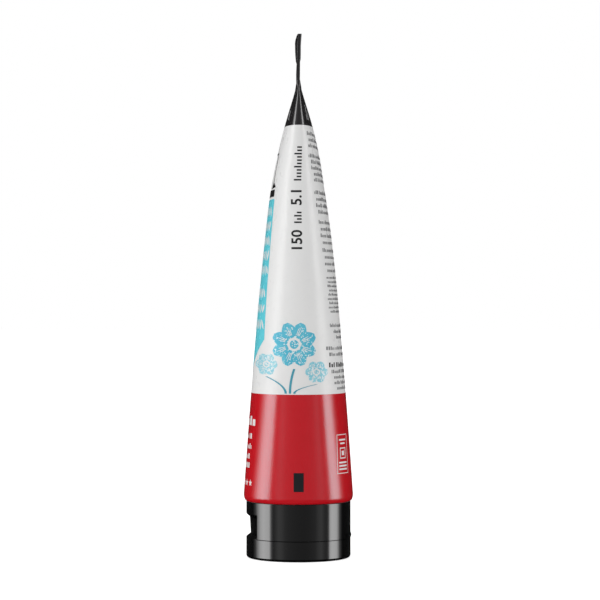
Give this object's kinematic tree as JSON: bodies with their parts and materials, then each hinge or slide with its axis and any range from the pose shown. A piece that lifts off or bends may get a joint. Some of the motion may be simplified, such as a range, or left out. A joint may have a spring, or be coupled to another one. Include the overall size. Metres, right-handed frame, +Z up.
{
  "type": "printing ink tube",
  "caption": "Plastic squeeze tube of printing ink that stands on its hinged flip-top cap and ends in a flat welded seal.",
  "frame": {"origin": "centre of the lid's flat end, which the tube stands on", "axes": "+Z up from the cap to the seal, X along the seal, -Y towards the printed front and the thumb recess"},
  "size_m": [0.063, 0.0404, 0.188],
  "materials": {
    "white_sleeve": "satin white polyethylene with a clear lacquer",
    "head_plastic": "natural moulded polyethylene",
    "red_ink": "wet red printing ink",
    "black_cap": "smooth black moulded polypropylene",
    "red_print": "glossy red print under lacquer",
    "black_print": "glossy black print under lacquer",
    "cyan_print": "glossy cyan print under lacquer"
  },
  "bodies": {
    "tube": {"sleeve": "white_sleeve", "tube_head": "head_plastic", "ink": "red_ink", "cap_base": "black_cap", "hinge_strap": "black_cap", "print_red": "red_print", "print_black": "black_print", "print_cyan": "cyan_print"},
    "lid": {"cap_lid": "black_cap"}
  },
  "joints": [
    {"name": "lid_hinge", "type": "hinge", "parent": "tube", "child": "lid", "pos_m": [0, 0.0192, 0.0082], "axis": [1, 0, 0], "range_deg": [0, 170], "deforming": ["hinge_strap"]}
  ]
}
